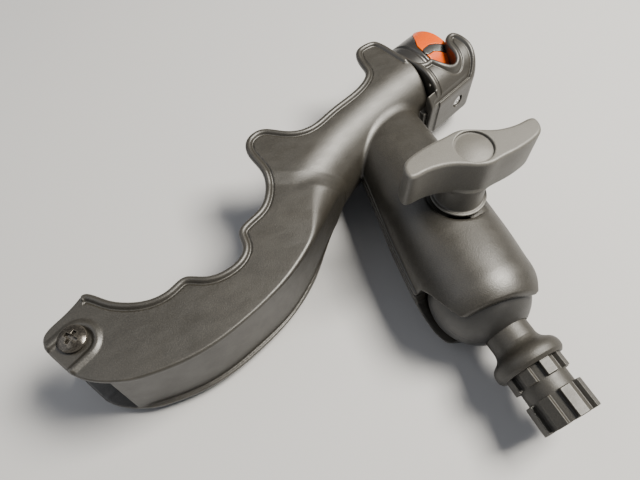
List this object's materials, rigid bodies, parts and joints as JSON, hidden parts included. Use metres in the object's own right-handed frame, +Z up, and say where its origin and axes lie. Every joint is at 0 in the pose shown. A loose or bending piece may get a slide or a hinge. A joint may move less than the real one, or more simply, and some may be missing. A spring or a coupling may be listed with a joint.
{
  "type": "rod holder",
  "caption": "Fishing rod holder: open scalloped cradle with a turning lock collar, on a knob-clamped ball socket arm with a splined post.",
  "frame": {"origin": "middle of the splined post's flat end face", "axes": "-Y runs out of the post's end, +X toward the rod's tip, +Z along the clamp bolt toward the wing knob; the holder lies on its side with +Z up"},
  "size_m": [0.3166, 0.2753, 0.1045],
  "materials": {
    "black_moulding": "satin glass-filled nylon, fine grain",
    "grey_knob": "matt fine grain",
    "ball_rubber": "hard rubber, matt",
    "orange_gloss": "glossy orange",
    "dark_steel": "blackened stainless",
    "bright_steel": "plain stainless",
    "insert_brass": "turned brass"
  },
  "bodies": {
    "cradle": {"cradle_body": "black_moulding", "tail_sleeve": "black_moulding", "tail_screw": "dark_steel", "tail_nut": "bright_steel", "front_yoke": "black_moulding", "yoke_screw": "bright_steel", "yoke_nut": "bright_steel", "detent_ball": "bright_steel", "detent_spring": "bright_steel"},
    "jaw": {"clamp_jaw": "black_moulding", "clamp_bolt": "bright_steel", "jaw_spring": "bright_steel"},
    "knob": {"wing_knob": "grey_knob", "knob_insert": "insert_brass", "knob_washer": "bright_steel"},
    "ball": {"ball_cover": "ball_rubber"},
    "post": {"spline_post": "black_moulding"},
    "collar": {"lock_collar": "black_moulding", "collar_grip": "orange_gloss", "collar_band": "black_moulding"}
  },
  "joints": [
    {"name": "knob_turn", "type": "hinge", "parent": "cradle", "child": "knob", "pos_m": [0.0126, 0.1283, 0.03], "axis": [0, 0, 1], "range_deg": [0, 720]},
    {"name": "jaw_open", "type": "slide", "parent": "cradle", "child": "jaw", "axis": [0, 0, -1], "range_m": [0, 0.00254], "deforming": ["jaw_spring"]},
    {"name": "ball_tilt", "type": "hinge", "parent": "cradle", "child": "ball", "pos_m": [0, 0.079, 0], "axis": [0, 0, 1], "range_deg": [-60, 60]},
    {"name": "post_spin", "type": "hinge", "parent": "ball", "child": "post", "pos_m": [0, 0.079, 0], "axis": [0, 1, 0], "continuous": true},
    {"name": "collar_turn", "type": "hinge", "parent": "cradle", "child": "collar", "pos_m": [0.06839, 0.24704, 0], "axis": [0.9532, 0.3024, 0], "range_deg": [0, 90]}
  ],
  "couplings": [
    {"joint": "knob_turn", "follows": "jaw_open", "rad_per_m": 4947.4}
  ]
}
